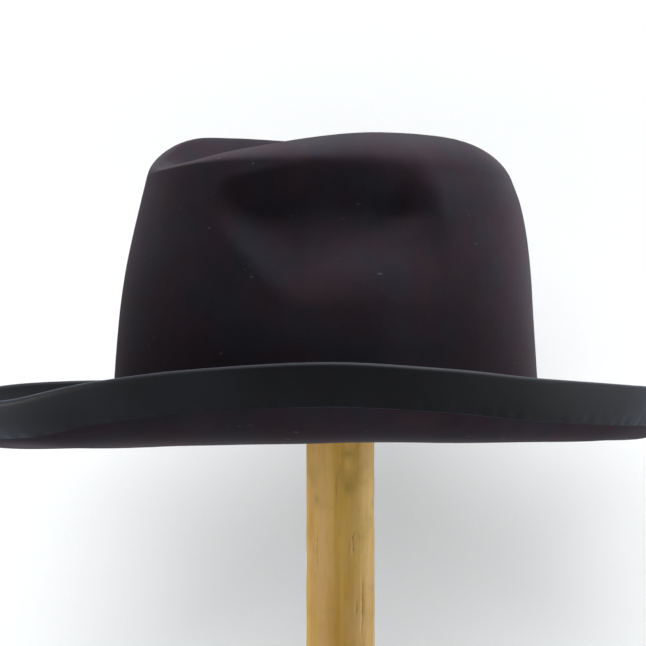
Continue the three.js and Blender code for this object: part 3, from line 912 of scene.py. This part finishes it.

# %% [markdown]
# Pine has broad pale bands from spring and thin brown lines from summer. Cut lengthwise they run as
# streaks up the pole. On the foot, which is turned from a flat board, they run across it in long
# curves. So both use one recipe: rings round a far centre, pulled along the grain. Over them lie, one
# after the other, wood that has weathered to a dull tan, the summer lines, fine pores, patches where
# the oil has yellowed, the post's own blotches and chips, and the painted shade inside its checks. A
# loop lays them on, since each is a value, the range in which it counts, its strength and its colour.

# %% Oiled pine
RING = 5.5              # mm from one summer line to the next
WAVES_PER_UNIT = 20     # a wave texture draws twenty waves to a unit at scale 1
STREAK = 5.0            # mm, broad streaks
WEATHERED = 11.0        # mm, places that have gone dull
STAIN = 13.0            # mm, patches of old oil
FIBRE = 0.45            # mm, fine streaks


def oiled_pine(name, grain_scale, far_centre):
    material, tree, shader = new_material(name)
    place = add(tree, "TexCoord", {}).outputs["Object"]
    grain = add(tree, "Mapping", {"Vector": place, "Location": far_centre, "Scale": grain_scale})
    rings = add(tree, "TexWave", {
        "Vector": grain.outputs[0], "Scale": per_mm(RING) / WAVES_PER_UNIT, "Distortion": 3.0,
        "Detail": 2.0, "Detail Scale": 1.2}, wave_type="RINGS", rings_direction="SPHERICAL")
    fibre = add(tree, "TexNoise", {
        "Vector": grain.outputs[0], "Scale": per_mm(FIBRE), "Detail": 3.0, "Roughness": 0.65})
    broad = add(tree, "TexNoise", {"Vector": grain.outputs[0], "Scale": per_mm(STREAK), "Detail": 2.0})
    stain = add(tree, "TexNoise", {"Vector": place, "Scale": per_mm(STAIN), "Detail": 3.0})
    dull_scale = tuple(0.3 if s < 0.5 else 1.0 for s in grain_scale)
    dull_lay = add(tree, "Mapping", {"Vector": place, "Scale": dull_scale})
    dull = add(tree, "TexNoise", {"Vector": dull_lay.outputs[0], "Scale": per_mm(WEATHERED), "Detail": 3.0})
    blotches, chips, checks = (
        add(tree, "Attribute", {}, attribute_name=mark).outputs["Fac"]
        for mark in ("blotch_mark", "chip_mark", "check_shade"))
    streak = add(tree, "MapRange", {"Value": broad.outputs[0], "From Min": 0.35, "From Max": 0.65})
    wood = add(tree, "Mix", {0: streak.outputs[0], 6: colour("#a37c2e"), 7: colour("#b89647")},
               data_type="RGBA")
    layers = [
        (dull.outputs[0], 0.45, 0.62, 1.0, "#b18d50"),
        (rings.outputs["Fac"], 0.55, 1.0, 0.45, "#8a6428"),
        (fibre.outputs[0], 0.42, 0.30, 0.5, "#7d5a24"),
        (stain.outputs[0], 0.52, 0.72, 0.5, "#85702f"),
        (blotches, 0.0, 1.0, 0.6, "#7a5f26"),
        (chips, 0.0, 1.0, 1.0, "#cdb06a"),
        # painted shade inside the post's checks
        (checks, 0.25, 1.0, 1.0, "#5f4822"),
    ]
    for value, low, high, strength, hex_value in layers:
        share = add(tree, "MapRange", {
            "Value": value, "From Min": low, "From Max": high, "To Max": strength})
        wood = add(tree, "Mix", {0: share.outputs[0], 6: wood.outputs[2], 7: colour(hex_value)},
                   data_type="RGBA")
    bump = add(tree, "Bump", {"Height": fibre.outputs[0], "Strength": 0.5, "Distance": 0.10 * MM})
    rough = add(tree, "MapRange", {"Value": stain.outputs[0], "To Min": 0.50, "To Max": 0.70})
    fill(tree, shader, {
        "Base Color": wood.outputs[2], "Roughness": rough.outputs[0], "Normal": bump.outputs[0],
        "IOR": 1.5, "Specular IOR Level": 0.35})
    return material


post.data.materials.append(oiled_pine("oiled_pine_pole", (1.0, 1.0, 0.05), (0.011, 0.016, 0.0)))
board = oiled_pine("oiled_pine_board", (0.06, 1.0, 1.0), (0.0, 0.03, 0.07))
for piece in (foot, cap):
    piece.data.materials.append(board)
print("materials:", sorted(m.name for m in bpy.data.materials))

# %% [markdown]
# Each dressed piece stands for its solid and moves with the same body. The stitches belong to the
# ribbon and stand for nothing by themselves.

# %% Pieces in place of their solids
STANDS_FOR = [
    (felt, "felt_body", "felt"),
    (ribbon, "brim_binding", "ribbon"),
    (post, "stand_post", "post_wood"),
    (foot, "stand_foot", "stand_wood"),
    (cap, "stand_cap", "stand_wood"),
]
for piece, node, slot in STANDS_FOR:
    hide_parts(node)
    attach(piece, "root")
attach(stitches, "root")
print("pieces:", [piece.name for piece, _, _ in STANDS_FOR] + [stitches.name])

# %% [markdown]
# The portrait has a white ground with one soft shadow under the hat. A pale floor and a white sweep
# behind give that, as a photographer's paper roll does. Both are seen from their front only: from
# behind, the paper is clear, so that the sweep doesn't hide the hat when someone walks round it, nor
# the floor when someone looks up at the brim.

# %% Floor and backdrop
TO_CAMERA = np.array([math.cos(math.radians(CAMERA_SIDE)), math.sin(math.radians(CAMERA_SIDE)), 0.0])
TO_RIGHT = np.array([-TO_CAMERA[1], TO_CAMERA[0], 0.0])
SWEEP_BEHIND = 300.0    # mm from the crown's middle to the backdrop
SWEEP_BEND = 150.0
SWEEP_HALF = 520.0
SWEEP_HIGH = 620.0
SWEEP_FOOT = 60.0       # mm that the sweep lies flat on the floor
SWEEP_LIFT = 0.5        # mm that it lies over the floor
FLOOR_HALF = 1700.0
TOOTH = 2.0             # mm, the paper's faint grain


def white_paper(name):
    material, tree, shader = new_material(name)
    place = add(tree, "TexCoord", {}).outputs["Object"]
    tooth = add(tree, "TexNoise", {"Vector": place, "Scale": per_mm(TOOTH), "Detail": 2.0})
    white = add(tree, "Mix", {0: tooth.outputs[0], 6: colour("#f1f3f4"), 7: colour("#f5f6f7")},
                data_type="RGBA")
    fill(tree, shader, {"Base Color": white.outputs[2], "Roughness": 0.9, "Specular IOR Level": 0.1})
    side = add(tree, "NewGeometry", {}).outputs["Backfacing"]
    clear = add(tree, "BsdfTransparent", {})
    paper = add(tree, "MixShader", {0: side, 1: shader.outputs[0], 2: clear.outputs[0]})
    fill(tree, tree.nodes["Material Output"], {"Surface": paper.outputs[0]})
    return material


corners = [(x * FLOOR_HALF, y * FLOOR_HALF, 0) for x, y in ((-1, -1), (1, -1), (1, 1), (-1, 1))]
floor = make_piece("floor", corners, [[0, 1, 2, 3]])
if floor.data.polygons[0].normal.z < 0:
    floor.data.flip_normals()
floor.data.materials.append(white_paper("pale_floor"))

profile = [(SWEEP_BEHIND - SWEEP_BEND - SWEEP_FOOT, SWEEP_LIFT)]
for a in np.radians(np.linspace(0, 90, 17)):
    profile.append((SWEEP_BEHIND - SWEEP_BEND * (1 - math.sin(a)),
                    SWEEP_LIFT + SWEEP_BEND * (1 - math.cos(a))))
profile.append((SWEEP_BEHIND, SWEEP_HIGH))
sweep_points = [-TO_CAMERA * back + TO_RIGHT * side + [0, 0, z]
                for back, z in profile for side in (-SWEEP_HALF, SWEEP_HALF)]
sweep_faces = [[2 * k, 2 * k + 1, 2 * k + 3, 2 * k + 2] for k in range(len(profile) - 1)]
sweep = make_piece("backdrop", sweep_points, sweep_faces)
facing = sum((p.normal for p in sweep.data.polygons), start=sweep.data.polygons[0].normal * 0)
if facing.dot(TO_CAMERA) < 0:
    sweep.data.flip_normals()
sweep.data.materials.append(white_paper("white_sweep"))

# %% [markdown]
# Dark felt shows its form by soft light from above. Two wide lamps hang over the hat: a strong one
# on the right and a weak one on the left. The black ribbon would sink into the felt, so it has two low
# lamps at its sides, and one below the brim's level stands for the light that a white ground throws
# back. The pole and the foot have a pair each. A key high in front lights the paper and drops the
# hat's soft shadow on it. A photographer keeps such lamps apart with screens. Here each lamp is linked
# to the pieces that it lights, and only the subject casts shadows. The world is a dome that is bright
# high up and dim low down, while the camera sees plain white.


# %% Lights
def gather(name, pieces):
    group = bpy.data.collections.new(name)
    for piece in pieces:
        group.objects.link(piece)
    return group


MEMBERS = {
    "subject": (felt, ribbon, stitches, post, foot, cap),
    "hat": (felt, ribbon, stitches),
    "felt": (felt,),
    "binding": (ribbon, stitches),
    "pole": (post, cap),
    "foot": (foot,),
    "paper": (floor, sweep),
}
GROUPS = {name: gather(name, pieces) for name, pieces in MEMBERS.items()}


def softbox(name, at, aim, size, power, lights, casts):
    data = bpy.data.lights.new(name, "AREA")
    data.shape = "DISK"
    data.size = size
    data.energy = power
    lamp = bpy.data.objects.new(name, data)
    bpy.context.scene.collection.objects.link(lamp)
    lamp.location = at
    way = aim - lamp.location
    lamp.rotation_euler = way.to_track_quat("-Z", "Y").to_euler()
    lamp.visible_camera = False
    lamp.light_linking.receiver_collection = lights
    lamp.light_linking.blocker_collection = casts
    return lamp


hat_middle = Vector((HAT_AT[0] * MM, HAT_AT[1] * MM, 0.25))
front, right = Vector(TO_CAMERA), Vector(TO_RIGHT)
up = Vector((0, 0, 1))
# Metres from the middle of the hat towards the camera, to the right and up, and across; then watts
LAMPS = chart(
    "name front right up size watts lights",
    ("paper_key", 1.8, -0.15, 0.7, 1.2, 31.0, "paper"),
    ("top_right", 0.0, 0.6, 1.3, 1.2, 60.0, "hat"),
    ("top_left", 0.1, -0.6, 1.3, 1.2, 16.0, "hat"),
    ("low_right", 0.05, 1.3, -0.12, 0.9, 16.0, "binding"),
    ("low_left", 0.25, -1.4, -0.12, 0.9, 50.0, "binding"),
    ("from_the_ground", 0.1, 1.1, -0.6, 0.5, 9.0, "felt"),
    ("pole_right", -0.15, 1.3, -0.12, 0.9, 13.5, "pole"),
    ("pole_left", 0.7, -1.3, -0.12, 0.9, 17.0, "pole"),
    ("foot_right", -0.15, 1.3, 0.6, 0.9, 33.0, "foot"),
    ("foot_left", 0.7, -1.3, 0.3, 0.9, 20.0, "foot"),
)
for row in LAMPS:
    at = front * row["front"] + right * row["right"] + up * row["up"]
    softbox(row["name"], hat_middle + at, hat_middle, row["size"], row["watts"],
            GROUPS[row["lights"]], GROUPS["subject"])

world = bpy.data.worlds.new("pale_room")
bpy.context.scene.world = world
world.use_nodes = True
sky = world.node_tree
way = add(sky, "TexCoord", {}).outputs["Generated"]
rise = add(sky, "SeparateXYZ", {"Vector": way}).outputs["Z"]
dome = add(sky, "MapRange", {
    "Value": rise, "From Min": 0.45, "From Max": 0.75, "To Min": 0.03, "To Max": 1.35})
seen = add(sky, "LightPath", {}).outputs["Is Camera Ray"]
strength = add(sky, "Mix", {0: seen, 2: dome.outputs[0], 3: 1.0}, data_type="FLOAT")
fill(sky, sky.nodes["Background"], {"Strength": strength.outputs[0], "Color": colour("#fdfeff")})

# %% [markdown]
# The camera stands 25 degrees round from the wearer's left towards the front, just above the level
# of the brim, and looks up a little. A long lens from about a metre keeps the brim's two sides nearly
# level, as the portrait shows them.

# %% Camera
CAMERA_REACH = 0.950    # m from the crown's middle axis
CAMERA_HIGH = 0.1885    # m over the surface that the stand rests on
CAMERA_ASIDE = -0.0019  # m to the right of the line to the crown's middle
FOCAL_PIXELS = 2011.0   # focal length in pixels of a picture 646 wide
PICTURE = 646
HORIZON_ROW = 425
SENSOR = 36.0

lens = bpy.data.cameras.new("portrait")
lens.sensor_width = SENSOR
lens.lens = FOCAL_PIXELS / PICTURE * SENSOR
camera = bpy.data.objects.new("portrait", lens)
bpy.context.scene.collection.objects.link(camera)
axis = Vector((HAT_AT[0] * MM, HAT_AT[1] * MM, CAMERA_HIGH))
camera.location = axis + front * CAMERA_REACH + right * CAMERA_ASIDE
pitch = math.atan((HORIZON_ROW - PICTURE / 2) / FOCAL_PIXELS)
gaze = -front * math.cos(pitch) + up * math.sin(pitch)
camera.rotation_euler = gaze.to_track_quat("-Z", "Y").to_euler()
bpy.context.scene.camera = camera
bpy.context.scene.view_settings.view_transform = "Standard"
print("lens:", round(lens.lens, 1), "mm, camera at", [round(c, 3) for c in camera.location])
